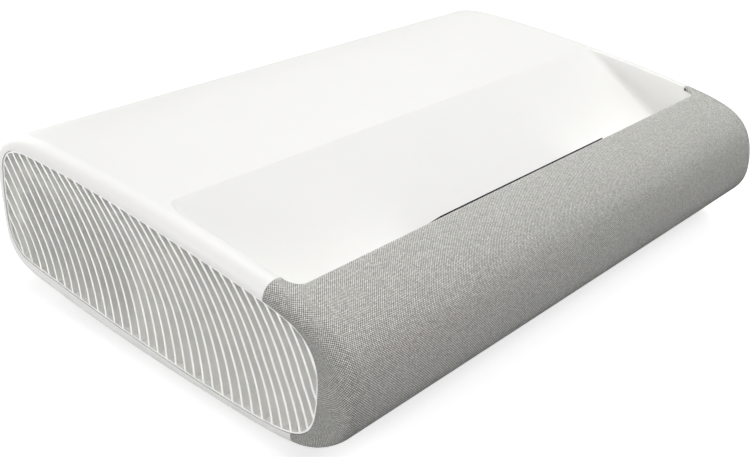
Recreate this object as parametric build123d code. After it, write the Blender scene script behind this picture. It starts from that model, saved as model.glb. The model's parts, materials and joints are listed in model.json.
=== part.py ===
"""Ultra-short-throw home projector, as an assembly of separate pieces.

Millimetres. Origin at the middle of the footprint, at the level the feet rest on.
+X across the width, -Y toward the rounded cloth nose, +Z up.
"""
import math
import os

import numpy as np
from scipy.interpolate import CubicSpline
from build123d import *

os.makedirs("parts", exist_ok=True)

# ------------------------------------------------------------------ driving dimensions
WIDTH = 550.0            # overall width
END_R = 10.4             # rounding where the long skin turns into the sides
SKIN = 3.2               # shell thickness
CLOTH = 1.0              # cloth thickness on the nose
GAP = 0.3                # gap left between neighbouring pieces

# side profile of the body: (y, z, direction of travel in degrees) at the joints of a chain of tangent arcs
PROFILE = [(180.7, 81.3, 87.17), (177.67, 105.96, 117.48), (159.34, 121.49, 157.61), (130.82, 126.89, 176.16),
           (93.34, 127.48, -179.17), (-44.86, 120.22, -174.82), (-107.15, 113.54, -172.5), (-135.78, 108.86, -167.17),
           (-161.79, 98.64, -145.02), (-180.8, 56.46, -92.71), (-175.82, 35.68, -56.32), (-158.64, 18.42, -36.06),
           (-107.21, 5.04, -2.72), (-35.26, 3.78, -0.15), (123.42, 10.35, 5.45), (153.6, 14.9, 17.41),
           (172.54, 29.41, 60.03), (178.6, 53.71, 84.02)]

# side opening filled by a grille, in the same form
OPENING = [(168.8, 84.9, 91.76), (164.96, 104.84, 119.4), (152.02, 113.87, 162.93), (130.79, 116.54, 177.87),
           (104.23, 116.92, 179.93), (-42.06, 109.2, -174.94), (-112.29, 101.66, -171.51), (-146.96, 87.9, -131.9),
           (-154.96, 50.56, -85.55), (-150.73, 31.93, -62.61), (-137.66, 20.5, -22.46), (-115.45, 15.89, -5.3),
           (-85.93, 14.49, -1.06), (-18.65, 15.23, 2.07), (58.75, 18.94, 3.86), (124.79, 24.17, 4.62),
           (163.16, 38.88, 61.16), (167.91, 60.54, 85.61)]

# trough in the top
RIDGE_Y, RIDGE_Z = -1.0, 123.75
RAMP = 0.525             # fall of the ramp toward the nose, mm per mm
LIP_Y, LIP_Z = -122.0, 112.1
TROUGH_X = 260.5         # half width
TROUGH_T = 2.6           # wall thickness of the trough
TROUGH_R = 7.0           # rounding where the ramp turns up into its side walls
NOSE_TOP_Y = -108.0      # where the cloth starts on the two rails
NOSE_BOT_Y = -134.5      # where the cloth ends underneath

# louvres: y of each blade at z = 60, and how far each is off that line at other heights
BLADE_Y = [169.6, 158.2, 146.9, 135.8, 124.7, 113.9, 103.5, 93.2, 82.85, 72.8, 62.9, 53.1, 43.3,
           33.4, 23.7, 14.0, 4.6, -4.6, -13.9, -23.0, -32.1, -41.0, -49.9, -58.8, -67.5, -76.2,
           -84.9, -93.4, -101.8, -110.1, -118.4, -126.7, -134.7, -142.8, -150.9, -158.9]
BLADE_Z = [8, 20, 30, 40, 50, 60, 70, 80, 90, 100, 110, 122]
BLADE_OFF = {
    170.0: [-22.5, -20.6, -18.4, -14.2, -7.8, 0, 7.4, 14.8, 22.4, 29.6, 37.6, 47.0],
    147.0: [-20.8, -19.4, -17.0, -13.2, -7.4, 0, 7.5, 14.9, 22.4, 29.8, 38.0, 47.6],
    103.5: [-15.6, -14.4, -12.7, -9.9, -5.7, 0, 6.6, 13.9, 21.5, 29.5, 38.5, 49.2],
    53.0: [-13.3, -12.0, -10.4, -7.9, -4.4, 0, 5.3, 12.1, 20.2, 29.4, 39.9, 53.0],
    4.6: [-11.8, -10.8, -9.3, -7.0, -4.1, 0, 5.4, 12.4, 20.8, 30.3, 41.6, 55.4],
    -49.8: [-13.6, -12.1, -10.1, -7.6, -4.3, 0, 5.2, 12.0, 20.1, 29.8, 41.3, 55.0],
    -101.8: [-17.4, -15.4, -13.0, -9.6, -5.1, 0, 5.3, 11.2, 18.4, 27.7, 39.0, 52.5],
    -143.0: [-19.5, -16.8, -13.7, -9.5, -4.7, 0, 4.9, 10.3, 16.3, 24.4, 35.0, 48.0],
    -160.0: [-20.0, -17.0, -13.7, -9.4, -4.6, 0, 4.9, 10.0, 15.8, 23.6, 34.0, 47.0],
}
BLADE_T = 1.9            # louvre thickness
BLADE_DEPTH = 9.0        # louvre depth into the body
GRILLE_X = 274.3         # outer face of the louvres

# window on the front wall of the trough: measures along the wall from the lip, and across
BEZEL_W, BEZEL_TOP, BEZEL_H, BEZEL_PROUD = 218.0, 12.4, 31.0, 2.2

# fans
FAN_A, FAN_T, FAN_BORE, FAN_TIP, FAN_HUB = 80.0, 25.0, 38.0, 36.6, 16.0
FANS = {"intake_fan": (-258.0, 70.0, 62.0), "exhaust_fan_front": (233.0, 32.0, 62.0),
        "exhaust_fan_rear": (233.0, 116.0, 62.0)}

# projection optics
LENS_Z = 58.0            # height of the lens axis
GEAR_M, RING_N, PINION_N = 0.8, 90, 15
PINION_ANG = -22.0       # where the pinion sits round the focus ring

# feet: centres, stud radius, pad radius, travel of each screw
FEET = {"front_left": (-215.0, -95.0), "front_right": (215.0, -95.0),
        "rear_left": (-215.0, 110.0), "rear_right": (215.0, 110.0)}
STUD_R, PAD_R, FOOT_TRAVEL = 4.0, 13.0, 8.0


def save(node, shape):
    export_step(shape, f"parts/{node}.step")


# ------------------------------------------------------------------ curves
def chain(nodes, d=0.0):
    """Closed chain of tangent arcs moved inward by d, as (start, middle, end) points."""
    p = [np.array(n[:2]) for n in nodes]
    t = [np.array([math.cos(math.radians(n[2])), math.sin(math.radians(n[2]))]) for n in nodes]
    arcs = []
    for i in range(len(p)):
        p0, p1, t0, t1 = p[i], p[(i + 1) % len(p)], t[i], t[(i + 1) % len(p)]
        v, den = p1 - p0, 2 * (1 - t0 @ t1)
        vt = v @ (t0 + t1)
        k = (-vt + math.sqrt(vt * vt + den * (v @ v))) / den if den > 1e-9 else (v @ v) / (4 * (v @ t1))
        j = (p0 + k * t0 + p1 - k * t1) / 2
        u = (j - p0) / np.linalg.norm(j - p0)
        arcs.append((p0, j, t0))
        arcs.append((j, p1, 2 * (t0 @ u) * u - t0))
    ends, out = [], []
    for a, b, ta in arcs:
        ends.append(a + d * np.array([-ta[1], ta[0]]))
    for i, (a, b, ta) in enumerate(arcs):
        ch, n = b - a, np.array([-ta[1], ta[0]])
        r = (ch @ ch) / (2 * (ch @ n))
        c = a + n * r
        half = math.asin(np.clip(np.linalg.norm(ch) / 2 / abs(r), -1, 1)) * (1 if r > 0 else -1)
        w = a - c
        m = np.array([w[0] * math.cos(half) - w[1] * math.sin(half), w[0] * math.sin(half) + w[1] * math.cos(half)])
        m = c + m * (r - d) / r
        out.append((ends[i], m, ends[(i + 1) % len(arcs)]))
    return out


def ring_face(nodes, d, x):
    e = [ThreePointArc(*[(x, float(q[0]), float(q[1])) for q in arc]) for arc in chain(nodes, d)]
    return make_face(e)


def prism(nodes, d, x0, x1):
    return extrude(ring_face(nodes, d, x0), amount=x1 - x0, dir=(1, 0, 0))


def body(d):
    """The rounded body, drawn in by d all round."""
    h = WIDTH / 2 - d
    p = prism(PROFILE, d, -h, h)
    ends = [e for e in p.edges() if abs(abs(e.center().X) - h) < 1e-3]
    return fillet(ends, END_R - d)


def box(x0, x1, y0, y1, z0, z1):
    return Pos((x0 + x1) / 2, (y0 + y1) / 2, (z0 + z1) / 2) * Box(x1 - x0, y1 - y0, z1 - z0)


def cyl(axis, at, r, length):
    """Cylinder from point at, going length along +axis."""
    turn = {"x": Rot(0, 90, 0), "y": Rot(-90, 0, 0), "z": Rot(0, 0, 0)}[axis]
    return Pos(*at) * turn * Cylinder(r, length, align=(Align.CENTER, Align.CENTER, Align.MIN))


def poly_x(points, x0, x1):
    """Polygon in (y, z), extruded along X."""
    f = make_face(Polyline(*[(x0, a, b) for a, b in points], close=True))
    return extrude(f, amount=x1 - x0, dir=(1, 0, 0))


def one(shape):
    """The largest solid of a result."""
    return max(shape.solids(), key=lambda s: s.volume)


def skin_z(y, low=True):
    """Height of the profile at y, underneath or on top."""
    best = None
    for a, m, b in chain(PROFILE):
        if min(a[0], b[0]) - 1e-6 <= y <= max(a[0], b[0]) + 1e-6 and ((m[1] < 60) == low):
            q = CubicSpline([0, 0.5, 1], np.array([a, m, b]))
            s = np.linspace(0, 1, 400)
            c = q(s)
            best = float(c[np.argmin(abs(c[:, 0] - y)), 1])
    return best


def bottom_z(y):
    return skin_z(y, True)


# ------------------------------------------------------------------ trough in the top
def ramp_z(y):
    return RIDGE_Z + RAMP * (y - RIDGE_Y)


def wall_z(y):
    return LIP_Z - (y - LIP_Y)


VALLEY_Y = (LIP_Z + LIP_Y - RIDGE_Z + RAMP * RIDGE_Y) / (1 + RAMP)


def plan(half, y0, y1, r_front, r_rear):
    s = Pos(0, (y0 + y1) / 2) * Rectangle(2 * half, y1 - y0)
    v = s.vertices().sort_by(Axis.Y)
    s = fillet(v[:2], r_front)
    return fillet(s.vertices().sort_by(Axis.Y)[-2:], r_rear)


def trough(grow):
    dr = grow * math.sqrt(1 + RAMP ** 2)
    dw = grow * math.sqrt(2)
    vy = (LIP_Z - dw + LIP_Y - RIDGE_Z + dr + RAMP * RIDGE_Y) / (1 + RAMP)
    y_front, y_rear = LIP_Y - 12, RIDGE_Y + 12
    pts = [(y_rear, 150), (y_rear, ramp_z(y_rear) - dr), (vy, ramp_z(vy) - dr),
           (y_front, wall_z(y_front) - dw), (y_front, 150)]
    f = make_face(Polyline(*[(-290, a, b) for a, b in pts], close=True))
    valley = min(f.vertices(), key=lambda v: abs(v.Y - vy) + abs(v.Z - (ramp_z(vy) - dr)))
    f = f.face() if hasattr(f, "face") else f
    f2 = f.fillet_2d(6.0 + grow, [valley])
    side = extrude(f2, amount=580, dir=(1, 0, 0))
    top = extrude(Pos(0, 0, 55) * plan(TROUGH_X + grow, LIP_Y - grow, RIDGE_Y + grow,
                                       12 + grow, 1 + grow), amount=100)
    return side & top


def ramp_coves(r):
    """Rounding strips along both sides of the ramp: what is left when a quarter round is taken out of the corner."""
    k = math.hypot(1, RAMP)
    t, n = (1 / k, RAMP / k), (-RAMP / k, 1 / k)
    y0 = RIDGE_Y + 30
    at = (y0 - 0.4 * n[0], ramp_z(y0) - 0.4 * n[1])
    length = (y0 - VALLEY_Y + 25) * k
    out = None
    for s in (-1, 1):
        pl = Plane(origin=(s * (TROUGH_X + 0.4), at[0], at[1]), x_dir=(-s, 0, 0), z_dir=(0, -t[0], -t[1]))
        up = 1 if abs(pl.y_dir.Z - n[1]) < 1e-6 else -1
        sk = Polyline((0, 0), (r + 0.4, 0), (r + 0.4, up * 0.4), (0.4, up * (r + 0.4)), (0, up * (r + 0.4)), close=True)
        f = make_face(sk) - Pos(r + 0.4, up * (r + 0.4)) * Circle(r)
        strip = extrude(pl * f, amount=length, dir=(0, -t[0], -t[1]))
        out = strip if out is None else out + strip
    return out


B0 = body(0.0)
B1 = body(CLOTH)
B1g = body(CLOTH + 0.1)
B3 = body(SKIN)
B35 = body(SKIN + GAP)
V0 = one(trough(0.0) - ramp_coves(TROUGH_R))
V1 = trough(TROUGH_T)

open_out = prism(OPENING, 0, -290, -262) + prism(OPENING, 0, 262, 290)

front = box(-300, 300, -250, NOSE_TOP_Y, 50, 200) + box(-300, 300, -250, NOSE_BOT_Y, -20, 50)
front_g = (box(-300, 300, -250, NOSE_TOP_Y + GAP, 50 - GAP, 200)
           + box(-300, 300, -250, NOSE_BOT_Y + GAP, -20, 50))

# parting line of the base pan: a little above the lower edge, following it
PART_LINE = [(-200, 9.0), (-110, 9.0), (-85, 8.3), (-40, 7.8), (20, 8.3), (50, 9.4), (80, 10.9), (125, 14.6),
             (142, 17.0), (155, 20.0), (165, 24.0), (200, 40.0)]


def below(shift):
    return poly_x([(y, z + shift) for y, z in PART_LINE] + [(200, -40), (-200, -40)], -300, 300)


# ------------------------------------------------------------------ white top cover
skin = B0 - B3
plate = V1 - V0
rear_of_nose = box(-300, 300, NOSE_TOP_Y + GAP, 250, 0, 200)
keep = (B0 & rear_of_nose)
walls = one((plate & keep) + (plate & B35))
PORT_X, PORT_Z0, PORT_Z1 = 148.0, 38.0, 68.0
port_cut = box(-PORT_X - GAP, PORT_X + GAP, 160, 200, PORT_Z0 - GAP, PORT_Z1 + GAP)
upper = skin - front_g - below(GAP / 2) - open_out - port_cut


def wall_place(u, n):
    """Point on the front wall of the trough: u along it from the lip, n off it."""
    k = math.sqrt(0.5)
    return (LIP_Y + k * u + k * n, LIP_Z - k * u + k * n)


def wall_box(w, u0, u1, n0, n1):
    q = [wall_place(u0, n0), wall_place(u1, n0), wall_place(u1, n1), wall_place(u0, n1)]
    return poly_x(q, -w / 2, w / 2)


win_cut = wall_box(206.0, BEZEL_TOP + 2.5, BEZEL_TOP + BEZEL_H - 2.5, -8, 4)
top_cover = one((upper + walls) - V0 - win_cut)
crest = []
for e in top_cover.edges():
    m = e.position_at(0.5)
    zt = skin_z(m.Y, False) if abs(m.Y) < 150 else None
    if zt and abs(zt - m.Z) < 0.2 and abs(m.X) < TROUGH_X + 0.5 and NOSE_TOP_Y < m.Y < RIDGE_Y + 0.5:
        crest.append(e)
try:
    top_cover = one(fillet(crest, 1.6))
except Exception:
    print("crest left sharp", len(crest))
save("top_cover", top_cover)

# ------------------------------------------------------------------ base pan
base = (skin & below(-GAP / 2)) - front_g - open_out
adds = None
for (fx, fy) in FEET.values():
    top = 19.5 if fy < 0 else 23.4
    b = cyl("z", (fx, fy, bottom_z(fy) + 1.0), 8.0, top - bottom_z(fy) - 1.0)
    adds = b if adds is None else adds + b
for sx, sy in [(-180, -70), (180, -70), (-180, 96), (180, 96)]:
    adds = adds + cyl("z", (sx, sy, bottom_z(sy) + 1.5), 4.0, 17.8 - bottom_z(sy) - 1.5)
SCREWS = [(-120, -60), (120, -60), (0, -20), (-120, 80), (120, 80), (0, 105)]
for sx, sy in SCREWS:
    adds = adds + cyl("z", (sx, sy, bottom_z(sy) + 1.0), 7.0, 17.6 - bottom_z(sy) - 1.0)
base = base + adds
for (fx, fy) in FEET.values():
    base = base - cyl("z", (fx, fy, -5), STUD_R + 0.1, 60)
for sx, sy in SCREWS:
    base = base - cyl("z", (sx, sy, -5), 4.0, 17.0) - cyl("z", (sx, sy, 5), 1.8, 30)
save("base_pan", one(base))

# ------------------------------------------------------------------ nose: frame and cloth
frame_shell = ((B1g - B3) & front) - V0 - open_out
sound = [box(s * (138 + 13 * k) - 4, s * (138 + 13 * k) + 4, -200, -150, 30, 74) for s in (-1, 1) for k in range(9)]
save("front_frame", one(frame_shell - sound))
cloth = ((B0 - B1) & front) - V0 - open_out
save("front_fabric", one(cloth))


# ------------------------------------------------------------------ side grilles
def blade_line(y60):
    keys = sorted(BLADE_OFF)
    tab = np.array([BLADE_OFF[k] for k in keys])
    off = np.array([np.interp(y60, keys, tab[:, j]) for j in range(len(BLADE_Z))])
    return CubicSpline(BLADE_Z, y60 + off)


def blade(y60):
    cs = blade_line(y60)
    edge = []
    for side in (1, -1):
        q = []
        for z in (8, 34, 60, 90, 122):
            sl = float(cs(z, 1))
            n = math.hypot(1, sl)
            q.append((-GRILLE_X - 2, float(cs(z)) + side * BLADE_T / 2 / n, z - side * BLADE_T / 2 * sl / n))
        edge.append(q)
    a, b = edge
    f = make_face([ThreePointArc(a[0], a[1], a[2]), ThreePointArc(a[2], a[3], a[4]), Line(a[4], b[4]),
                   ThreePointArc(b[4], b[3], b[2]), ThreePointArc(b[2], b[1], b[0]), Line(b[0], a[0])])
    return extrude(f, amount=BLADE_DEPTH + 4, dir=(1, 0, 0))


rim = prism(OPENING, 0.35, -GRILLE_X, -GRILLE_X + BLADE_DEPTH) - prism(OPENING, 1.45, -GRILLE_X - 1, -GRILLE_X + BLADE_DEPTH + 1)
rim = rim + (prism(OPENING, -2.0, -270.9, -268.9) - prism(OPENING, 1.2, -272, -268))
trim = prism(OPENING, 0.9, -GRILLE_X, -GRILLE_X + BLADE_DEPTH)
blades = [b for y in BLADE_Y for b in (trim & blade(y)).solids() if b.volume > 5]
grille = one(rim + blades)
save("left_grille", grille)
save("right_grille", one(mirror(grille, about=Plane.YZ)))

# dust screens behind the louvres: wide slots in front of the fans, fine ones elsewhere
scr = prism(OPENING, 3.0, -262.5, -261.3)
scr = scr - [box(-264, -260, 17 + 10 * k, 24 + 10 * k, 31, 95) for k in range(13)]
scr = scr - [box(-264, -260, -112 + 6 * k, -110.4 + 6 * k, 30, 90) for k in range(20)]
scr = one(scr - trough(TROUGH_T + 1.0))
save("dust_screen_left", scr)
save("dust_screen_right", one(mirror(scr, about=Plane.YZ)))

# ------------------------------------------------------------------ projection window
bz = wall_box(BEZEL_W, BEZEL_TOP, BEZEL_TOP + BEZEL_H, 0.15, BEZEL_PROUD)
bz = bz + wall_box(205.0, BEZEL_TOP + 3, BEZEL_TOP + BEZEL_H - 3, -3.2, 0.3)
bz = bz - wall_box(197.0, BEZEL_TOP + 6.5, BEZEL_TOP + BEZEL_H - 6.5, -6, 4)
bz = bz - wall_box(201.0, BEZEL_TOP + 4.7, BEZEL_TOP + BEZEL_H - 4.7, -6, -0.6)
save("window_bezel", one(bz))
save("window_glass", one(wall_box(200.6, BEZEL_TOP + 4.9, BEZEL_TOP + BEZEL_H - 4.9, -2.9, -0.8)))

# ------------------------------------------------------------------ rear panel and sockets
PANEL_Y = 166.0
panel = box(-PORT_X, PORT_X, PANEL_Y, 176, PORT_Z0, PORT_Z1) - box(-PORT_X + 1.6, PORT_X - 1.6, PANEL_Y + 2.2, 180,
                                                                   PORT_Z0 + 1.6, PORT_Z1 - 1.6)
panel = panel + box(-PORT_X - 5, PORT_X + 5, PANEL_Y - 1.8, PANEL_Y + 0.2, PORT_Z0 - 4, PORT_Z1 + 4)
HDMI_X, USB_X, LAN_X, OPT_X, INLET_X, BUTTON_X = (62.0, 86.0, 110.0), 38.0, 12.0, -14.0, -110.0, -64.0
SOCK_Z = 53.0


def hole(xc, w, h):
    return box(xc - w / 2, xc + w / 2, PANEL_Y - 8, PANEL_Y + 6, SOCK_Z - h / 2, SOCK_Z + h / 2)


for xc in HDMI_X:
    panel = panel - hole(xc, 15.8, 6.4)
panel = panel - hole(USB_X, 15.2, 7.6) - hole(LAN_X, 16.6, 14.1) - hole(OPT_X, 10.6, 10.6) - hole(INLET_X, 30.6, 22.6)
panel = panel - cyl("y", (BUTTON_X, PANEL_Y - 8, SOCK_Z), 6.4, 16)
save("rear_panel", one(panel))


def socket(xc, w, h, iw, ih, y0, y1, floor):
    s = box(xc - w / 2, xc + w / 2, y0, y1, SOCK_Z - h / 2, SOCK_Z + h / 2)
    return s - box(xc - iw / 2, xc + iw / 2, floor, y1 + 2, SOCK_Z - ih / 2, SOCK_Z + ih / 2)


hd = []
for xc in HDMI_X:
    s = socket(xc, 15.2, 5.8, 14.0, 4.6, 156, 169.2, 157.5)
    hd.append(s + box(xc - 5, xc + 5, 157, 166.5, SOCK_Z - 0.2, SOCK_Z + 0.9))
save("hdmi_sockets", Compound(children=[one(s) for s in hd]))
usb = socket(USB_X, 14.6, 7.0, 12.6, 5.2, 154, 169.2, 155.5) + box(USB_X - 5.6, USB_X + 5.6, 155, 167, SOCK_Z + 0.2, SOCK_Z + 2.0)
save("usb_socket", one(usb))
lan = socket(LAN_X, 16.0, 13.5, 11.9, 8.2, 152, 169.2, 154.0) - box(LAN_X - 3.2, LAN_X + 3.2, 160, 172, SOCK_Z - 5.8, SOCK_Z - 3.9)
save("lan_socket", one(lan))
save("optical_socket", one(socket(OPT_X, 10.0, 10.0, 6.4, 6.4, 155, 169.2, 160.0)))
inlet = socket(INLET_X, 30.0, 22.0, 24.2, 16.2, 148, 170.5, 151.0)
for dx, dz in ((-7, -1.8), (7, -1.8), (0, 2.4)):
    inlet = inlet + box(INLET_X + dx - 1, INLET_X + dx + 1, 150, 166, SOCK_Z + dz - 2, SOCK_Z + dz + 2)
save("power_inlet", one(inlet))
button = cyl("y", (BUTTON_X, 162.0, SOCK_Z), 6.0, 8.5) + cyl("y", (BUTTON_X, 162.0, SOCK_Z), 8.0, 1.8)
cap = [e for e in button.edges() if e.center().Y > 170]
save("power_button", one(fillet(cap, 0.8)))

# ------------------------------------------------------------------ feet
for name, (fx, fy) in FEET.items():
    under = bottom_z(fy) - 0.9
    stud_top = 19.0 if fy < 0 else 23.0
    pad = cyl("z", (fx, fy, 0), PAD_R, 2.6) - cyl("z", (fx, fy, 1.2), 9.2, 5)
    save(f"foot_pad_{name}", one(pad))
    stud = cyl("z", (fx, fy, 1.3), 9.0, under - 1.3) + cyl("z", (fx, fy, 1.3), STUD_R, stud_top - 1.3)
    save(f"foot_stud_{name}", one(stud))

scr = []
for sx, sy in SCREWS:
    scr.append(one(cyl("z", (sx, sy, 9.6), 3.2, 2.4) - (Pos(sx, sy, 9.6) * Cylinder(1.4, 2.4)) + cyl("z", (sx, sy, 11.5), 1.6, 8.0)))
save("case_screws", Compound(children=scr))

# ------------------------------------------------------------------ chassis plate and light engine
ch = box(-195, 195, -85, 125, 18.0, 19.5)
for sx, sy in SCREWS:
    ch = ch - cyl("z", (sx, sy, 10), 1.9, 20)
for xc in (-150, -60, 60, 150):
    ch = ch - box(xc - 30, xc + 30, -40, 30, 17, 21)
save("chassis_plate", one(ch))

eng = box(-48, 48, 50, 120, 19.8, 84) - box(-44, 44, 54, 116, 24, 80)
eng = eng + (box(-140, -46, 6, 100, 25, 82) - box(-136, -50, 10, 96, 29, 78))
eng = eng - box(-60, -40, 58, 92, 34, 72)
eng = eng - cyl("y", (0, 45, LENS_Z), 23.0, 12) - cyl("y", (0, 112, LENS_Z), 16.0, 12)
for yc in (20, 51, 82):
    eng = eng - box(-145, -130, yc - 12, yc + 12, 34, 74)
save("engine_housing", one(eng))

for name, yc in (("red", 20), ("green", 51), ("blue", 82)):
    lb = box(-152, -143, yc - 14, yc + 14, 30, 78)
    for dy in (-7, 7):
        for dz in (-15, 0, 15):
            lb = lb + cyl("x", (-144, yc + dy, 54 + dz), 3.6, 3.4)
    save(f"laser_bank_{name}", one(lb))

WHEEL = (-92.0, 51.0, 54.0)
mot = cyl("x", (-135.7, WHEEL[1], WHEEL[2]), 11.0, 36.0) - cyl("x", (-112, WHEEL[1], WHEEL[2]), 2.1, 20)
save("diffuser_motor", one(mot))
wh = cyl("x", (-92.0, WHEEL[1], WHEEL[2]), 22.5, 1.2) + cyl("x", (-98.0, WHEEL[1], WHEEL[2]), 7.0, 8.0)
wh = wh + cyl("x", (-108.0, WHEEL[1], WHEEL[2]), 2.0, 12.0)
save("diffuser_wheel", one(wh))

# imaging chip board and heatsink at the back of the engine
db = box(-40, 40, 121, 122.6, 28, 92) + box(-12, 12, 119.2, 121.4, LENS_Z - 9, LENS_Z + 9) + box(20, 36, 122.4, 126, 70, 88)
db = db - box(-13, 13, 120.5, 124, LENS_Z - 5, LENS_Z + 5) + box(-12, 12, 117.5, 121.0, LENS_Z - 9, LENS_Z + 9)
save("dmd_board", one(db))
dh = box(-30, 17, 123.0, 127.0, 32, 86)
for k in range(8):
    dh = dh + box(-30 + 6.2 * k, -28 + 6.2 * k, 126.5, 148, 32, 86)
save("dmd_heatsink", one(dh))

# ------------------------------------------------------------------ lens, focus drive, mirror
lens = cyl("y", (0, 20, LENS_Z), 22.6, 33.5) + cyl("y", (0, -30, LENS_Z), 30.0, 50.5) + cyl("y", (0, -50, LENS_Z), 35.0, 20.5)
lens = lens + box(-16, 16, 26, 46, 19.8, 39)
lens = lens - cyl("y", (0, -51, LENS_Z), 32.0, 15) - cyl("y", (0, -37, LENS_Z), 26.0, 48) - cyl("y", (0, 10, LENS_Z), 18.0, 50)
save("lens_barrel", one(lens))
dome = cyl("y", (0, -46, LENS_Z), 31.7, 9.0) + (cyl("y", (0, -56, LENS_Z), 31.7, 11) & (Pos(0, 6, LENS_Z) * Sphere(62.0)))
save("front_lens", one(dome))


def involute_tooth(n, m, addendum, dedendum, thin):
    """Half outline of one tooth as (radius, angle) pairs, angle from the tooth's middle."""
    rp, al = n * m / 2, math.radians(20)
    rb, ra, rf = rp * math.cos(al), rp + addendum, rp - dedendum
    half = (math.pi * m / 2 - thin) / 2 / rp + math.tan(al) - al
    out = []
    r0 = max(rb, rf)
    if rf < rb:
        out.append((rf, half))
    for k in range(6):
        r = r0 + (ra - r0) * k / 5
        a = math.acos(min(1.0, rb / r))
        out.append((r, half - (math.tan(a) - a)))
    return out


def gear(n, m, add, ded, thin, first, count, y0, y1):
    """Toothed blank about the Y axis: teeth number count, the first one at angle first."""
    rf = n * m / 2 - ded
    tooth = involute_tooth(n, m, add, ded, thin)
    g = cyl("y", (0, y0, 0), rf + 0.02, y1 - y0)
    for k in range(count):
        c = first + 2 * math.pi * k / n
        pts = [(rf - 0.8, c + tooth[0][1])] + [(r, c + a) for r, a in tooth]
        pts = pts + [(r, c - a) for r, a in reversed(tooth)] + [(rf - 0.8, c - tooth[0][1])]
        w = Polyline(*[(r * math.cos(a), y0, r * math.sin(a)) for r, a in pts], close=True)
        g = g + extrude(make_face(w), amount=y1 - y0, dir=(0, 1, 0))
    return g


ang = math.radians(PINION_ANG)
step = 2 * math.pi / RING_N
teeth = 28
ring = gear(RING_N, GEAR_M, 0.64, 0.95, 0.14, ang + step / 2 - step * teeth / 2, teeth, -8.0, 4.0)
ring = Pos(0, 0, LENS_Z) * ring - cyl("y", (0, -10, LENS_Z), 30.08, 20)
save("focus_ring", one(ring))
cd = (RING_N + PINION_N) * GEAR_M / 2 + 0.08
PX, PZ = cd * math.cos(ang), LENS_Z + cd * math.sin(ang)
pin = gear(PINION_N, GEAR_M, 0.64, 0.95, 0.14, ang + math.pi, PINION_N, -7.0, 3.0)
pin = pin + cyl("y", (0, 2.5, 0), 1.5, 9.5)
save("focus_pinion", one(Pos(PX, 0, PZ) * pin))
fm = cyl("y", (PX, 4.5, PZ), 8.6, 20) - cyl("y", (PX, 4.0, PZ), 1.58, 9.5)
fm = fm + (box(PX - 6, PX + 6, 8, 20, 19.8, PZ - 7.6))
save("focus_motor", one(fm))

MIR_C, MIR_R = (0, -15.0, 75.0), 140.0
mir = (Pos(*MIR_C) * Sphere(MIR_R + 4)) - (Pos(*MIR_C) * Sphere(MIR_R))
mir = mir & box(-72, 72, -175, -100, 24, 84)
save("concave_mirror", one(mir))
br = box(-84, 84, -136, -94, 17.0, 20.0) + box(73, 76, -150, -100, 17.0, 66) + box(-76, -73, -150, -100, 20.5, 66)
br = br + box(-76, -73, -150, -100, 17.0, 66)
br = br - box(-90, 90, -170, -136.5, 10, 30)
save("mirror_bracket", one(br))

# ------------------------------------------------------------------ heatsinks
hs = box(-158, -152.6, 4, 100, 24, 90)
for k in range(20):
    y0 = 5 + 4.8 * k
    hs = hs + box(-226, -157, y0, y0 + 1.0, 24, 96)
for z0 in (36, 54, 72):
    hs = hs + cyl("y", (-190, 4, z0), 4.0, 97) + cyl("x", (-190, 8, z0), 3.0, 34)
save("laser_heatsink", one(hs))
hr = box(104, 222, -6, 100, 34.2, 38.2)
for k in range(20):
    y0 = -5 + 5.3 * k
    hr = hr + box(106, 222, y0, y0 + 1.2, 38, 92)
save("processor_heatsink", one(hr))

# ------------------------------------------------------------------ fans
for name, (x0, yc, zc) in FANS.items():
    fr = box(x0, x0 + FAN_T, yc - FAN_A / 2, yc + FAN_A / 2, zc - FAN_A / 2, zc + FAN_A / 2)
    fr = fr - cyl("x", (x0 - 1, yc, zc), FAN_BORE, FAN_T + 2)
    for a in (-1, 1):
        for b in (-1, 1):
            fr = fr - cyl("x", (x0 - 1, yc + a * 35.8, zc + b * 35.8), 2.2, FAN_T + 2)
    hub = cyl("x", (x0, yc, zc), FAN_HUB, 3.2)
    for a in (45, 135):
        hub = hub + Pos(x0 + 1.6, yc, zc) * Rot(a, 0, 0) * Box(3.2, 2 * FAN_BORE + 3, 4.0)
    fr = fr + hub - cyl("x", (x0 + 1, yc, zc), 2.1, 10)
    save(f"{name}_frame", one(fr))
    ro = cyl("x", (x0 + 4.2, yc, zc), FAN_HUB, 18.0)
    tip = cyl("x", (x0 + 4.2, yc, zc), FAN_TIP, 18.0)
    for k in range(7):
        bl = Pos(x0 + 13.2, yc, zc) * Rot(360 / 7 * k, 0, 0) * (Pos(0, 0, 26.5) * Rot(0, 0, 38) * Box(1.5, 24, 25))
        ro = ro + (bl & tip)
    ro = ro + cyl("x", (x0 + 1.6, yc, zc), 2.0, 4)
    save(f"{name}_rotor", one(ro))

# ------------------------------------------------------------------ boards
mb = box(64, 226, -76, 148, 24.0, 25.6)
for x0, x1, y0, y1, z1 in ((140, 180, 20, 60, 34.0), (70, 96, 20, 80, 31), (84, 120, -60, -30, 33), (150, 200, -66, -24, 30),
                           (70, 98, 110, 140, 36), (180, 215, 110, 135, 32)):
    mb = mb + box(x0, x1, y0, y1, 25.4, z1)
for sx in (70, 220):
    for sy in (-70, 90):
        if abs(sx) < 195 and sy < 125:
            mb = mb + cyl("z", (sx, sy, 19.7), 3.0, 4.5)
save("main_board", one(mb))
pb = box(-228, -70, 104, 156, 26.0, 27.6)
for x0, x1, y0, y1, z1 in ((-222, -180, 108, 150, 62), (-168, -140, 110, 145, 50), (-96, -76, 108, 130, 46)):
    pb = pb + box(x0, x1, y0, y1, 27.4, z1)
for xc in (-128, -112):
    pb = pb + cyl("z", (xc, 116, 27.4), 7.0, 32)
save("power_board", one(pb))
ld = box(-225, -84, -84, -4, 24.0, 25.6)
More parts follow.
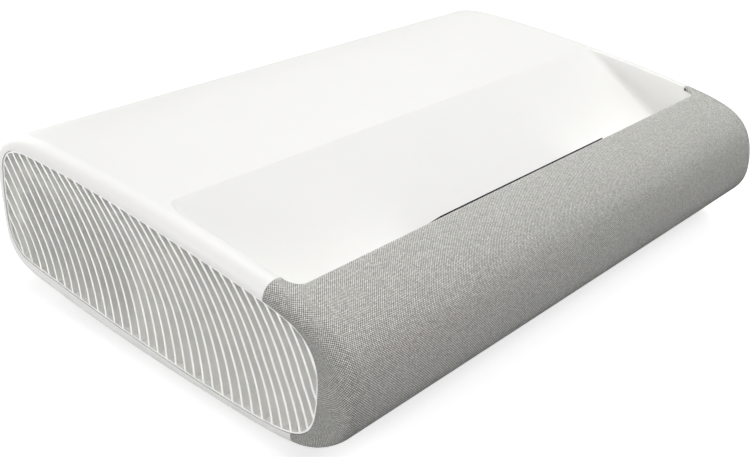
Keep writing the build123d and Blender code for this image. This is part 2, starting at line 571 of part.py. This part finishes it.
for x0, x1, y0, y1, z1 in ((-215, -180, -70, -30, 44), (-165, -130, -70, -40, 38), (-120, -95, -60, -20, 36)):
    ld = ld + box(x0, x1, y0, y1, 25.4, z1)
save("laser_driver_board", one(ld))
save("ir_board", one(box(-14, 14, -170.0, -168.4, 50, 66) + box(-3, 3, -173.0, -169.5, 55, 61)))

# ------------------------------------------------------------------ speakers
for name, s in (("left", -1), ("right", 1)):
    a, b = sorted((s * 120.0, s * 250.0))
    sp = box(a, b, -150, -92, 24, 70) - box(a + 3, b - 3, -147, -95, 27, 67)
    wx, tx, wz = s * 160.0, s * 218.0, 47.0
    sp = sp - cyl("y", (wx, -152, wz), 19.5, 8) - cyl("y", (tx, -152, wz), 12.8, 8)
    sp = sp + cyl("y", (wx, -128, wz), 13.0, 35)
    save(f"speaker_box_{name}", one(sp))
    prof = [(6.0, -136.0), (18.6, -147.6), (18.6, -149.0), (17.6, -149.0), (6.5, -138.6), (0.0, -141.5), (0.0, -139.6), (4.0, -138.2)]
    f = make_face(Polyline(*[(r, 0, y) for r, y in prof], close=True))
    cone = revolve(f, axis=Axis.Z, revolution_arc=360)
    # the profile's third value runs along the driver's axis
    cone = Pos(wx, 0, wz) * Rot(-90, 0, 0) * cone
    save(f"woofer_cone_{name}", one(cone))
    tw = cyl("y", (tx, -153, wz), 12.5, 16) + cyl("y", (tx, -155.5, wz), 6.0, 4)
    save(f"tweeter_{name}", one(tw))

print("pieces", len(os.listdir("parts")))
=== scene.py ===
import json
import math

import bpy
import numpy as np
from mathutils import Matrix, Vector


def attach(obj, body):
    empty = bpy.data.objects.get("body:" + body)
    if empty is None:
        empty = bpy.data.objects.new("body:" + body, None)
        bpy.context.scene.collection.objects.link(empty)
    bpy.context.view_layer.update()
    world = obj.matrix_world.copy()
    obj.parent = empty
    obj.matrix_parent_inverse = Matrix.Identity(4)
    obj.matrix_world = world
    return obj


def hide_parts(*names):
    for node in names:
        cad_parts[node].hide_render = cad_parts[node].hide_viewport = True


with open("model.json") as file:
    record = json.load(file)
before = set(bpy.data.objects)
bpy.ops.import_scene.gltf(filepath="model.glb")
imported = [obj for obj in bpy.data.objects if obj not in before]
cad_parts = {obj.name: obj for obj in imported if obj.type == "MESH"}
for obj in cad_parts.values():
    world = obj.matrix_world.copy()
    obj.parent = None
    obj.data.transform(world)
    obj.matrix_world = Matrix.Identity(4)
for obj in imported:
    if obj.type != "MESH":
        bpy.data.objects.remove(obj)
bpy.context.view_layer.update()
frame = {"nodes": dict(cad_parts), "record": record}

nodes = frame["nodes"]
MM = 0.001

# ---------------------------------------------------------------- outline of the body, mm
PROFILE = [(180.7, 81.3, 87.17), (177.67, 105.96, 117.48), (159.34, 121.49, 157.61), (130.82, 126.89, 176.16),
           (93.34, 127.48, -179.17), (-44.86, 120.22, -174.82), (-107.15, 113.54, -172.5), (-135.78, 108.86, -167.17),
           (-161.79, 98.64, -145.02), (-180.8, 56.46, -92.71), (-175.82, 35.68, -56.32), (-158.64, 18.42, -36.06),
           (-107.21, 5.04, -2.72), (-35.26, 3.78, -0.15), (123.42, 10.35, 5.45), (153.6, 14.9, 17.41),
           (172.54, 29.41, 60.03), (178.6, 53.71, 84.02)]
OPENING = [(168.8, 84.9, 91.76), (164.96, 104.84, 119.4), (152.02, 113.87, 162.93), (130.79, 116.54, 177.87),
           (104.23, 116.92, 179.93), (-42.06, 109.2, -174.94), (-112.29, 101.66, -171.51), (-146.96, 87.9, -131.9),
           (-154.96, 50.56, -85.55), (-150.73, 31.93, -62.61), (-137.66, 20.5, -22.46), (-115.45, 15.89, -5.3),
           (-85.93, 14.49, -1.06), (-18.65, 15.23, 2.07), (58.75, 18.94, 3.86), (124.79, 24.17, 4.62),
           (163.16, 38.88, 61.16), (167.91, 60.54, 85.61)]
HALF, END_R = 275.0, 10.4
LIP_Y, LIP_Z, TROUGH_X, CORNER_R = -122.0, 112.1, 260.5, 12.0
NOSE_TOP_Y, NOSE_BOT_Y = -108.0, -134.5


def outline(table, step=0.25):
    """Points and inward normals along the closed chain of tangent arcs."""
    p = [np.array(n[:2]) for n in table]
    t = [np.array([math.cos(math.radians(n[2])), math.sin(math.radians(n[2]))]) for n in table]
    pts, nrm = [], []
    for i in range(len(p)):
        p0, p1, t0, t1 = p[i], p[(i + 1) % len(p)], t[i], t[(i + 1) % len(p)]
        v, den = p1 - p0, 2 * (1 - t0 @ t1)
        vt = v @ (t0 + t1)
        k = (-vt + math.sqrt(vt * vt + den * (v @ v))) / den if den > 1e-9 else (v @ v) / (4 * (v @ t1))
        j = (p0 + k * t0 + p1 - k * t1) / 2
        u = (j - p0) / np.linalg.norm(j - p0)
        for a, b, ta in ((p0, j, t0), (j, p1, 2 * (t0 @ u) * u - t0)):
            ch, n = b - a, np.array([-ta[1], ta[0]])
            r = (ch @ ch) / (2 * (ch @ n))
            c = a + n * r
            sweep = 2 * math.asin(np.clip(np.linalg.norm(ch) / 2 / abs(r), -1, 1)) * (1 if r > 0 else -1)
            m = max(2, int(abs(r * sweep) / step))
            for q in range(m):
                w = sweep * q / m
                cs, sn = math.cos(w), math.sin(w)
                e = a - c
                pts.append(c + np.array([e[0] * cs - e[1] * sn, e[0] * sn + e[1] * cs]))
                nrm.append(np.array([n[0] * cs - n[1] * sn, n[0] * sn + n[1] * cs]))
    return np.array(pts), np.array(nrm)


# ---------------------------------------------------------------- cloth over the nose
def build_cloth():
    pts, nrm = outline(PROFILE)
    opn, _ = outline(OPENING, 0.5)
    # the stretch of outline that carries cloth, with some to spare at both ends
    top = int(np.argmin(np.hypot(pts[:, 0] + 96, pts[:, 1] - 114)))
    bot = int(np.argmin(np.hypot(pts[:, 0] + 124, pts[:, 1] - 8)))
    P, N = pts[top:bot], nrm[top:bot]
    S = np.concatenate([[0], np.cumsum(np.hypot(*np.diff(P, axis=0).T))])
    # how far in the side opening lies under each point
    q0, q1 = opn, np.roll(opn, -1, axis=0)
    L = np.zeros(len(P))
    for i in range(len(P)):
        d, e = N[i], q1 - q0
        w = q0 - P[i]
        den = d[0] * e[:, 1] - d[1] * e[:, 0]
        with np.errstate(divide="ignore", invalid="ignore"):
            a = (w[:, 0] * e[:, 1] - w[:, 1] * e[:, 0]) / den
            b = (w[:, 0] * d[1] - w[:, 1] * d[0]) / den
        ok = (b >= -1e-6) & (b <= 1 + 1e-6) & (a > 0)
        L[i] = a[ok].min() if ok.any() else END_R + 1
    # y where the trough's front wall comes up through the skin
    up = P[:, 1] > 90
    y_lip = P[up][np.argmin(abs(P[up, 1] - (LIP_Z - (P[up, 0] - LIP_Y))))][0]

    # columns across the width: (kind, value)
    flat = HALF - END_R
    half = [("flat", x) for x in np.concatenate([np.arange(0, 244, 6.0), np.arange(244, 260.4, 0.5), [260.45, 260.55],
                                                 np.arange(261, flat, 0.6)])]
    half += [("turn", a) for a in np.linspace(0, math.pi / 2, 15)]
    half += [("side", a) for a in np.linspace(0, 1, 13)[1:]]
    cols = [(k, v, -1) for k, v in reversed(half)] + [(k, v, 1) for k, v in half[1:]]
    ROWS = 96
    mid = int(np.argmin(P[:, 0]))
    verts, uvs = [], []
    for kind, val, sgn in cols:
        if kind == "flat":
            x, inset = np.full(len(P), val), np.zeros(len(P))
        elif kind == "turn":
            x, inset = np.full(len(P), flat + END_R * math.sin(val)), np.full(len(P), END_R * (1 - math.cos(val)))
        else:
            x, inset = np.full(len(P), HALF), END_R + val * (L - END_R)
        lat = val if kind == "flat" else flat + END_R * val if kind == "turn" else flat + END_R * math.pi / 2 + val * 12
        Q = P + N * inset[:, None]
        y0 = NOSE_TOP_Y
        if kind == "flat" and val < TROUGH_X:
            y0 = y_lip
            if val > TROUGH_X - CORNER_R:
                y0 = max(y_lip, LIP_Y + CORNER_R - math.sqrt(CORNER_R ** 2 - (val - TROUGH_X + CORNER_R) ** 2))
        s0 = np.interp(-y0, -Q[:mid, 0], S[:mid])
        s1 = np.interp(NOSE_BOT_Y, Q[mid:, 0], S[mid:])
        s = np.linspace(s0, s1, ROWS)
        # the edge rolls over: a little more of the grid near both ends
        g = np.linspace(0, 1, ROWS)
        s = s0 + (s1 - s0) * (g + 0.10 * np.sin(2 * math.pi * g) / (2 * math.pi) * -1)
        row = [(np.interp(a, S, Q[:, 0]), np.interp(a, S, Q[:, 1]), np.interp(a, S, x), a, lat) for a in s]
        n0 = np.array([np.interp(s0, S, N[:, 0]), np.interp(s0, S, N[:, 1])])
        n1 = np.array([np.interp(s1, S, N[:, 0]), np.interp(s1, S, N[:, 1])])
        e0 = np.array(row[0][:2])
        k = math.sqrt(0.5)
        drop = y0 - y_lip
        if kind == "flat" and val < TROUGH_X and drop < 0.3:
            hem = [(e0 + np.array([k, -k]) * d + np.array([k, k]) * o, d) for d, o in ((4.8, 0.25), (2.2, 0.25), (0.7, 0.2))]
            row[0] = (*(e0 + n0 * 0.22), row[0][2], row[0][3], lat)
        elif kind == "flat" and val < TROUGH_X and drop < 3.2:
            # in the rounded corner the edge falls straight to the sloping wall and then follows it
            zl = LIP_Z - (y_lip - LIP_Y)
            foot = zl + 0.17 - drop
            hem = [(np.array([y_lip + 3.57, zl - 3.21]), drop + 1.41 * (3.4 - drop)), (np.array([y0 + 0.18, foot]), drop + 0.3),
                   (np.array([y0 + 0.18, (foot + e0[1]) / 2]), 0.5 * drop + 0.15)]
            row[0] = (*(e0 + n0 * 0.22), row[0][2], row[0][3], lat)
        elif kind == "flat" and val < TROUGH_X:
            hem = [(e0 + np.array([0.18, -d]), d) for d in (3.0, 1.6, 0.6)]
            row[0] = (*(e0 + n0 * 0.22), row[0][2], row[0][3], lat)
        else:
            hem = [(e0 + n0 * d, d) for d in (0.95, 0.55, 0.25)]
        e1 = np.array(row[-1][:2])
        tail = [(e1 + n1 * d, d) for d in (0.25, 0.55, 0.95)]
        if kind != "flat":
            hem = [(e0 + np.array([0.0, 0.0]), 0.0)] * 3
            tail = [(e1, 0.0)] * 3
        full = [(*h, row[0][2], s0 - d, lat) for h, d in hem] + row + [(*h, row[-1][2], s1 + d, lat) for h, d in tail]
        verts.append([(sgn * r[2] * MM, r[0] * MM, r[1] * MM) for r in full])
        uvs.append([(sgn * r[4] * MM, r[3] * MM) for r in full])
    # ends at the grille openings turn in toward the middle of the body
    for end in (0, -1):
        sg = -1 if end == 0 else 1
        for d in (0.3, 0.9):
            rim = [(v[0] - sg * d * MM, v[1], v[2]) for v in verts[end if d == 0.3 else end]]
            ruv = [(u[0] + sg * d * MM, u[1]) for u in uvs[end]]
            if end == 0:
                verts.insert(0, rim), uvs.insert(0, ruv)
            else:
                verts.append(rim), uvs.append(ruv)
    nc, nr = len(verts), len(verts[0])
    flatv = [v for c in verts for v in c]
    faces = []
    for c in range(nc - 1):
        for r in range(nr - 1):
            a = c * nr + r
            f = (a, a + 1, a + nr + 1, a + nr)
            if len({flatv[i] for i in f}) == 4:
                faces.append(f)
    me = bpy.data.meshes.new("nose_cloth")
    me.from_pydata(flatv, [], faces)
    uvl = me.uv_layers.new(name="weave")
    fuv = [u for c in uvs for u in c]
    for loop in me.loops:
        uvl.data[loop.index].uv = fuv[loop.vertex_index]
    me.validate()
    import bmesh
    bm = bmesh.new()
    bm.from_mesh(me)
    bmesh.ops.remove_doubles(bm, verts=bm.verts, dist=1e-6)
    loose = [v for v in bm.verts if not v.link_faces]
    bmesh.ops.delete(bm, geom=loose, context="VERTS")
    bmesh.ops.recalc_face_normals(bm, faces=bm.faces)
    mean = sum((f.normal.y * f.calc_area() for f in bm.faces), 0.0)
    if mean > 0:
        bmesh.ops.reverse_faces(bm, faces=bm.faces)
    bm.to_mesh(me)
    bm.free()
    for f in me.polygons:
        f.use_smooth = True
    ob = bpy.data.objects.new("nose_cloth", me)
    bpy.context.scene.collection.objects.link(ob)
    area = sum(f.area for f in me.polygons)
    span = max(u[0] for u in fuv) - min(u[0] for u in fuv)
    length = max(u[1] for u in fuv) - min(u[1] for u in fuv)
    return ob, area, span, length


cloth, cloth_area, cloth_w, cloth_l = build_cloth()
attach(cloth, "chassis")
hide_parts("front_fabric")


# ---------------------------------------------------------------- materials
class Mat:
    """A material being built: the node tree and its shader."""

    def __init__(self, name):
        self.m = bpy.data.materials.new(name)
        self.m.use_nodes = True
        self.t = self.m.node_tree
        self.b = next(n for n in self.t.nodes if n.type == "BSDF_PRINCIPLED")
        self.co = self.t.nodes.new("ShaderNodeTexCoord")

    def n(self, kind, **kw):
        node = self.t.nodes.new(kind)
        for k, v in kw.items():
            setattr(node, k, v)
        return node

    def link(self, a, b):
        self.t.links.new(a, b)

    def put(self, socket, value):
        if hasattr(value, "is_output"):
            self.link(value, socket)
        else:
            socket.default_value = value

    def math(self, op, a, b=None, c=None):
        m = self.n("ShaderNodeMath", operation=op)
        for i, v in enumerate((a, b, c)):
            if v is not None:
                self.put(m.inputs[i], v)
        return m.outputs[0]

    def noise(self, scale, detail=2.0, rough=0.5, vec=None, stretch=None):
        src = vec or self.co.outputs["Object"]
        if stretch:
            mp = self.n("ShaderNodeMapping")
            mp.inputs["Scale"].default_value = stretch
            self.link(src, mp.inputs["Vector"])
            src = mp.outputs[0]
        x = self.n("ShaderNodeTexNoise")
        x.inputs["Scale"].default_value = scale
        x.inputs["Detail"].default_value = detail
        x.inputs["Roughness"].default_value = rough
        self.link(src, x.inputs["Vector"])
        return x.outputs["Fac"]

    def ramp(self, fac, stops):
        r = self.n("ShaderNodeValToRGB")
        e = r.color_ramp.elements
        while len(e) < len(stops):
            e.new(0.5)
        for el, (pos, col) in zip(e, stops):
            el.position = pos
            el.color = (*col, 1) if len(col) == 3 else col
        self.link(fac, r.inputs[0])
        return r.outputs[0]

    def remap(self, fac, lo, hi, a=0.25, b=0.75):
        m = self.n("ShaderNodeMapRange")
        m.inputs["From Min"].default_value = a
        m.inputs["From Max"].default_value = b
        m.inputs["To Min"].default_value = lo
        m.inputs["To Max"].default_value = hi
        self.link(fac, m.inputs["Value"])
        return m.outputs[0]

    def bump(self, height, strength, distance, soften=0.0):
        u = self.n("ShaderNodeBump")
        u.inputs["Strength"].default_value = strength
        u.inputs["Distance"].default_value = distance
        self.link(height, u.inputs["Height"])
        if soften:
            v = self.n("ShaderNodeBevel", samples=4)
            v.inputs["Radius"].default_value = soften
            self.link(v.outputs[0], u.inputs["Normal"])
        self.link(u.outputs[0], self.b.inputs["Normal"])

    def set(self, **kw):
        for k, v in kw.items():
            self.b.inputs[k.replace("_", " ")].default_value = v


def tone(col, k):
    return tuple(min(1.0, max(0.0, c * k)) for c in col)


def moulded(name, col, rough, grain=2600.0, depth=0.00004, vary=0.02, soften=0.0, strength=0.25, **sockets):
    """Moulded plastic, paint or rubber: fine spark-eroded grain, faint drift in tone and gloss."""
    a = Mat(name)
    drift = a.noise(14.0, 3.0)
    a.link(a.ramp(drift, [(0.3, tone(col, 1 - vary)), (0.7, tone(col, 1 + vary))]), a.b.inputs["Base Color"])
    a.link(a.remap(a.noise(90.0, 4.0), rough - 0.04, rough + 0.05), a.b.inputs["Roughness"])
    a.bump(a.noise(grain, 2.0, 0.6), strength, depth, soften)
    a.set(**sockets)
    return a.m


def metal(name, col, rough, stretch, scale=900.0, depth=0.00003, vary=0.05, soften=0.0, strength=0.3, **sockets):
    """Metal with a drawn or cast surface."""
    a = Mat(name)
    a.set(Metallic=1.0)
    lines = a.noise(scale, 3.0, 0.6, stretch=stretch)
    a.link(a.ramp(a.noise(30.0, 4.0), [(0.3, tone(col, 1 - vary)), (0.7, tone(col, 1 + vary))]), a.b.inputs["Base Color"])
    a.link(a.remap(lines, rough - 0.07, rough + 0.08), a.b.inputs["Roughness"])
    a.bump(lines, strength, depth, soften)
    a.set(**sockets)
    return a.m


def glass(name, col, rough, **sockets):
    a = Mat(name)
    a.link(a.ramp(a.noise(9.0, 2.0), [(0.3, tone(col, 0.92)), (0.7, tone(col, 1.08))]), a.b.inputs["Base Color"])
    a.link(a.remap(a.noise(55.0, 3.0), rough, rough + 0.03), a.b.inputs["Roughness"])
    a.bump(a.noise(16.0, 1.0), 0.02, 0.0002)
    a.set(**sockets)
    return a.m


def board(name):
    """Solder mask over copper runs, with a grid of tinned pads."""
    a = Mat(name)
    br = a.n("ShaderNodeTexBrick")
    br.inputs["Scale"].default_value = 260.0
    br.inputs["Mortar Size"].default_value = 0.035
    br.inputs["Color1"].default_value = (0.012, 0.105, 0.055, 1)
    br.inputs["Color2"].default_value = (0.016, 0.135, 0.070, 1)
    br.inputs["Mortar"].default_value = (0.045, 0.250, 0.120, 1)
    a.link(a.co.outputs["Object"], br.inputs["Vector"])
    vo = a.n("ShaderNodeTexVoronoi")
    vo.inputs["Scale"].default_value = 150.0
    a.link(a.co.outputs["Object"], vo.inputs["Vector"])
    pad = a.ramp(vo.outputs["Distance"], [(0.10, (1, 1, 1)), (0.14, (0, 0, 0))])
    mix = a.n("ShaderNodeMix", data_type="RGBA")
    a.link(pad, mix.inputs[0])
    a.link(br.outputs["Color"], mix.inputs[6])
    mix.inputs[7].default_value = (0.62, 0.60, 0.55, 1)
    a.link(mix.outputs[2], a.b.inputs["Base Color"])
    a.link(a.remap(a.noise(120.0, 3.0), 0.25, 0.42), a.b.inputs["Roughness"])
    a.bump(br.outputs["Fac"], 0.3, 0.00005)
    return a.m


def woven(name):
    """Plain weave of light and dark grey yarn: threads cross over and under, each with its own tone, and the yarn is
    flecked. Painted shade darkens the valleys between threads and the cloth round the ends of the nose.
    """
    a = Mat(name)
    uv = a.n("ShaderNodeUVMap", uv_map="weave")
    sep = a.n("ShaderNodeSeparateXYZ")
    a.link(uv.outputs[0], sep.inputs[0])
    # threads wander a little
    w1 = a.remap(a.noise(90.0, 2.0, vec=uv.outputs[0]), -0.00016, 0.00016)
    w2 = a.remap(a.noise(105.0, 2.0, vec=uv.outputs[0]), -0.00016, 0.00016)
    pitch = 0.00088
    U = a.math("DIVIDE", a.math("ADD", sep.outputs[0], w1), pitch)
    V = a.math("DIVIDE", a.math("ADD", sep.outputs[1], w2), pitch)
    su = a.math("SINE", a.math("MULTIPLY", U, math.pi))
    sv = a.math("SINE", a.math("MULTIPLY", V, math.pi))
    x = a.math("MULTIPLY", su, sv)
    over = a.remap(x, 0.0, 1.0, -0.22, 0.22)
    height = a.math("POWER", a.math("ABSOLUTE", x), 0.6)

    def thread(coord, other, salt):
        cell = a.n("ShaderNodeCombineXYZ")
        a.link(a.math("MULTIPLY", a.math("FLOOR", coord), 0.71), cell.inputs[0])
        a.link(a.math("MULTIPLY", other, 0.35), cell.inputs[1])
        cell.inputs[2].default_value = salt
        t = a.n("ShaderNodeTexNoise")
        t.inputs["Scale"].default_value = 1.0
        t.inputs["Detail"].default_value = 2.0
        a.link(cell.outputs[0], t.inputs["Vector"])
        return t.outputs["Fac"]

    warp = a.ramp(thread(U, V, 3.1), [(0.30, (0.187, 0.184, 0.171)), (0.5, (0.258, 0.255, 0.238)), (0.70, (0.340, 0.336, 0.313))])
    weft = a.ramp(thread(V, U, 8.7), [(0.30, (0.87, 0.865, 0.813)), (0.5, (0.92, 0.915, 0.86)), (0.70, (0.97, 0.965, 0.908))])
    mix = a.n("ShaderNodeMix", data_type="RGBA")
    a.link(over, mix.inputs[0])
    a.link(warp, mix.inputs[6])
    a.link(weft, mix.inputs[7])
    # valleys between threads are darker: painted shade
    dark = a.n("ShaderNodeMix", data_type="RGBA", blend_type="MULTIPLY")
    dark.inputs[0].default_value = 1.0
    a.link(mix.outputs[2], dark.inputs[6])
    a.link(a.ramp(height, [(0.0, (0.60, 0.60, 0.60)), (0.55, (1, 1, 1))]), dark.inputs[7])
    # heathered yarn: every crossing shows its own mix of light and dark fibre
    spot = a.n("ShaderNodeTexWhiteNoise", noise_dimensions="2D")
    at = a.n("ShaderNodeCombineXYZ")
    a.link(a.math("FLOOR", U), at.inputs[0])
    a.link(a.math("FLOOR", V), at.inputs[1])
    a.link(at.outputs[0], spot.inputs["Vector"])
    fleck = a.n("ShaderNodeMix", data_type="RGBA", blend_type="MULTIPLY")
    fleck.inputs[0].default_value = 1.0
    a.link(dark.outputs[2], fleck.inputs[6])
    a.link(a.ramp(spot.outputs["Value"], [(0.0, (0.62, 0.62, 0.62)), (1.0, (1.0, 1.0, 1.0))]), fleck.inputs[7])
    # painted shade: round the ends of the nose and down their sides the cloth is darkened to 0.72 of its tone
    painted_end_shade = a.remap(a.math("ABSOLUTE", sep.outputs[0]), 1.0, 0.72, 0.2610, 0.2790)
    ends = a.n("ShaderNodeMix", data_type="RGBA", blend_type="MULTIPLY")
    ends.inputs[0].default_value = 1.0
    a.link(fleck.outputs[2], ends.inputs[6])
    a.link(painted_end_shade, ends.inputs[7])
    a.link(ends.outputs[2], a.b.inputs["Base Color"])
    a.link(a.remap(a.noise(700.0, 2.0, vec=uv.outputs[0]), 0.80, 0.95), a.b.inputs["Roughness"])
    fuzz = a.math("ADD", height, a.math("MULTIPLY", a.noise(5200.0, 2.0), 0.25))
    a.bump(fuzz, 0.6, 0.00035)
    a.set(Sheen_Weight=0.40, Sheen_Roughness=0.5, Specular_IOR_Level=0.2)
    return a.m


SLOT = {
    "white_shell": moulded("white_shell", (0.742, 0.738, 0.721), 0.46, 2400, 0.00003, 0.008, 0.0004, 0.18),
    # pan_white: the shell's white plastic made lighter, painted light standing in for light thrown up from the floor
    "pan_white": moulded("pan_white", (0.900, 0.895, 0.875), 0.46, 2400, 0.00003, 0.008, 0.0004, 0.18),
    # grille_white: the shell's white plastic made much lighter, painted light that brightens the louvres
    "grille_white": moulded("grille_white", (0.965, 0.958, 0.932), 0.48, 2400, 0.00003, 0.010, 0.0003, 0.15,
                            Subsurface_Weight=0.30, Subsurface_Radius=(0.0020, 0.0019, 0.0017), Subsurface_Scale=1.0),
    "dark_plastic": moulded("dark_plastic", (0.030, 0.030, 0.032), 0.52, 1900, 0.00006, 0.10, 0.0003, 0.35),
    "rotor_plastic": moulded("rotor_plastic", (0.020, 0.020, 0.022), 0.40, 1500, 0.00003, 0.10, 0.0, 0.2),
    "gloss_black": moulded("gloss_black", (0.006, 0.006, 0.0065), 0.30, 700, 0.00001, 0.15, 0.0002, 0.10, Specular_IOR_Level=0.25),
    "window_glass": glass("window_glass", (0.10, 0.11, 0.14), 0.02, Transmission_Weight=0.75, IOR=1.5),
    "lens_glass": glass("lens_glass", (0.66, 0.72, 0.80), 0.01, Transmission_Weight=0.95, IOR=1.6),
    "mirror_coat": metal("mirror_coat", (0.90, 0.905, 0.91), 0.09, (1, 1, 1), 60, 0.00001, 0.02, 0.0, 0.03),
    "alloy": metal("alloy", (0.60, 0.61, 0.625), 0.44, (1, 1, 1), 1300, 0.00006, 0.06, 0.0003, 0.4),
    "steel": metal("steel", (0.52, 0.525, 0.54), 0.34, (1, 30, 1), 120, 0.00003, 0.05, 0.0003, 0.3),
    "socket_metal": metal("socket_metal", (0.48, 0.48, 0.485), 0.30, (1, 1, 25), 140, 0.00002, 0.06, 0.0002, 0.25),
    "brass": metal("brass", (0.70, 0.53, 0.26), 0.30, (1, 20, 1), 160, 0.00003, 0.06, 0.0003, 0.3),
    "gear_plastic": moulded("gear_plastic", (0.70, 0.66, 0.55), 0.42, 1600, 0.00003, 0.04, 0.0, 0.2),
    "board": board("board"),
    "cone_paper": moulded("cone_paper", (0.055, 0.055, 0.058), 0.85, 900, 0.00012, 0.20, 0.0, 0.6),
    "foot_rubber": moulded("foot_rubber", (0.022, 0.022, 0.022), 0.78, 1100, 0.00008, 0.15, 0.0004, 0.45),
}
for sub in frame["record"]["subparts"]:
    ob, sl = nodes[sub["node"]], sub["material_slot"]
    if sl not in SLOT:
        continue
    if not ob.material_slots:
        ob.data.materials.append(SLOT[sl])
    for s in ob.material_slots:
        s.material = SLOT[sl]
# the base pan takes the lighter copy of the white plastic: painted light from below
for s in nodes["base_pan"].material_slots:
    s.material = SLOT["pan_white"]
cloth.data.materials.append(woven("nose_weave"))

# ---------------------------------------------------------------- floor, light, camera
fm = bpy.data.meshes.new("floor")
fm.from_pydata([(-6, -6, 0), (6, -6, 0), (6, 6, 0), (-6, 6, 0)], [], [(0, 1, 2, 3)])
floor = bpy.data.objects.new("floor", fm)
bpy.context.scene.collection.objects.link(floor)
# the floor glows: emission 0.66 near the object rising to 1.0 at 2.2 m out, painted light that lifts its shadows
fl = moulded("floor", (0.55, 0.55, 0.55), 0.85, 300, 0.00005, 0.004, 0.0, 0.05, Emission_Color=(1, 1, 1, 1),
             Emission_Strength=0.66)
ft = fl.node_tree
fb = next(n for n in ft.nodes if n.type == "BSDF_PRINCIPLED")
fo = ft.nodes.new("ShaderNodeTexCoord")
fv = ft.nodes.new("ShaderNodeVectorMath")
fv.operation = "LENGTH"
fg = ft.nodes.new("ShaderNodeMapRange")
fg.inputs["From Min"].default_value, fg.inputs["From Max"].default_value = 0.45, 2.2
fg.inputs["To Min"].default_value, fg.inputs["To Max"].default_value = 0.66, 1.0
ft.links.new(fo.outputs["Object"], fv.inputs[0])
ft.links.new(fv.outputs["Value"], fg.inputs["Value"])
ft.links.new(fg.outputs[0], fb.inputs["Emission Strength"])
floor.data.materials.append(fl)
floor.visible_diffuse = False

# pale backdrop far behind, which gives no light of its own to the object
import bmesh
bm = bmesh.new()
bmesh.ops.create_uvsphere(bm, u_segments=48, v_segments=24, radius=9.0)
dm = bpy.data.meshes.new("backdrop")
bm.to_mesh(dm)
bm.free()
dome = bpy.data.objects.new("backdrop", dm)
bpy.context.scene.collection.objects.link(dome)
pale = moulded("backdrop", (0.02, 0.02, 0.02), 0.9, 40, 0.00001, 0.01, 0.0, 0.05, Emission_Color=(1, 1, 1, 1),
               Emission_Strength=1.0)
dome.data.materials.append(pale)
dome.visible_diffuse = dome.visible_glossy = dome.visible_shadow = False

scene = bpy.context.scene
world = bpy.data.worlds.new("studio")
scene.world = world
world.use_nodes = True
wt = world.node_tree
bg = next(n for n in wt.nodes if n.type == "BACKGROUND")
tc = wt.nodes.new("ShaderNodeTexCoord")
sp = wt.nodes.new("ShaderNodeSeparateXYZ")
rp = wt.nodes.new("ShaderNodeMapRange")
cr = wt.nodes.new("ShaderNodeValToRGB")
wt.links.new(tc.outputs["Generated"], sp.inputs[0])
wt.links.new(sp.outputs[2], rp.inputs["Value"])
rp.inputs["From Min"].default_value = -1.0
rp.inputs["From Max"].default_value = 1.0
wt.links.new(rp.outputs[0], cr.inputs[0])
stops = [(0.0, 0.11), (0.47, 0.10), (0.53, 0.04), (1.0, 0.035)]
el = cr.color_ramp.elements
while len(el) < len(stops):
    el.new(0.5)
for e, (p, v) in zip(el, stops):
    e.position = p
    e.color = (v, v, v, 1)
wt.links.new(cr.outputs[0], bg.inputs["Color"])
bg.inputs["Strength"].default_value = 1.0


def softbox(name, at, aim, size, watts):
    d = bpy.data.lights.new(name, "AREA")
    d.shape = "RECTANGLE"
    d.size, d.size_y = size
    d.energy = watts
    o = bpy.data.objects.new(name, d)
    scene.collection.objects.link(o)
    o.location = at
    o.rotation_euler = (Vector(aim) - Vector(at)).to_track_quat("-Z", "Y").to_euler()
    return o


# a ring of softboxes 2.2 m away: (height and heading in degrees, 0 in front and 90 on the left; watts; size)
WIDE, STRIP = (1.3, 0.9), (1.5, 0.5)
for high, head, watts, size in ((8, 104, 28.0, STRIP), (14, 180, 18.5, WIDE), (38, 40, 6.0, WIDE), (11, 74, 6.0, WIDE),
                                (50, 352, 22.5, WIDE), (62, 225, 7.5, WIDE), (62, 300, 7.5, WIDE), (38, 270, 7.0, WIDE),
                                (38, 225, 6.5, WIDE), (70, 195, 13.5, WIDE)):
    e, h = math.radians(high), math.radians(head)
    softbox(f"softbox_{high}_{head}", (-2.2 * math.sin(h) * math.cos(e), -2.2 * math.cos(h) * math.cos(e),
                                       2.2 * math.sin(e) + 0.06), (0, 0, 0.06), size, watts)

az, el_, roll = math.radians(50.722), math.radians(27.053), math.radians(-4.051)
back = Vector((-math.sin(az) * math.cos(el_), -math.cos(az) * math.cos(el_), math.sin(el_)))
fwd = -back
r = fwd.cross(Vector((0, 0, 1))).normalized()
d = fwd.cross(r)
r2 = r * math.cos(roll) + d * math.sin(roll)
d2 = r * -math.sin(roll) + d * math.cos(roll)
cam = bpy.data.cameras.new("camera")
cam.sensor_fit = "HORIZONTAL"
cam.sensor_width = 36.0
cam.lens = 53.074
cam.clip_start, cam.clip_end = 0.01, 50
co = bpy.data.objects.new("camera", cam)
scene.collection.objects.link(co)
m = Matrix((r2, -d2, back)).transposed().to_4x4()
m.translation = Vector((-0.67008, -0.51305, 0.44323))
co.matrix_world = m
scene.camera = co
scene.view_settings.view_transform = "Standard"
scene.view_settings.look = "None"

bpy.context.view_layer.update()
